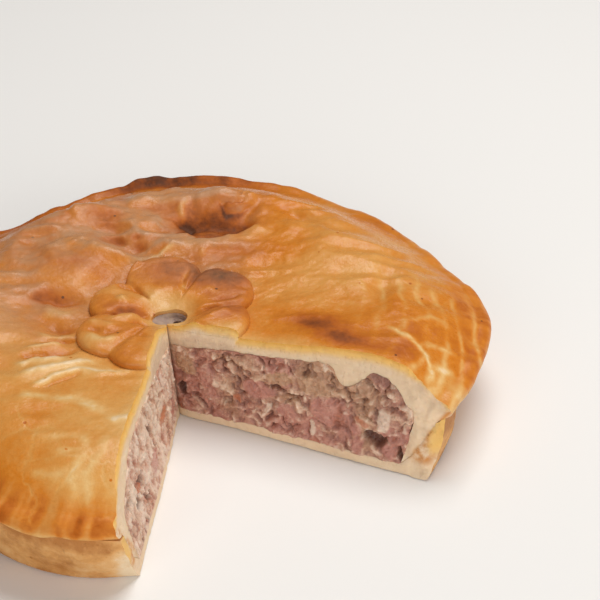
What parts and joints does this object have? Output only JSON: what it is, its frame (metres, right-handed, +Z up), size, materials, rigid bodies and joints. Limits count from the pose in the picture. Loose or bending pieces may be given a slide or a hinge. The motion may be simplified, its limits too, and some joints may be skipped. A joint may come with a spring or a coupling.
{
  "type": "sauerkraut and meat pie",
  "caption": "Round double-crust savoury pie with a wrinkled, egg-washed lid, a pastry flower about its steam hole, and a wedge cut out that shows the minced filling.",
  "frame": {"origin": "middle of the pie's round, on the flat underside of the bottom crust", "axes": "+Z up, the cut opens towards -Y and +X"},
  "size_m": [0.2583, 0.2461, 0.0535],
  "materials": {
    "baked_crust": "egg-washed baked pastry, satin, golden brown",
    "pale_crust": "pale baked pastry, matt, cream",
    "minced_filling": "moist minced meat, pink and grey"
  },
  "bodies": {
    "root": {"bottom_crust": "pale_crust", "filling": "minced_filling", "top_crust": "baked_crust", "pastry_flower": "baked_crust"}
  },
  "joints": []
}
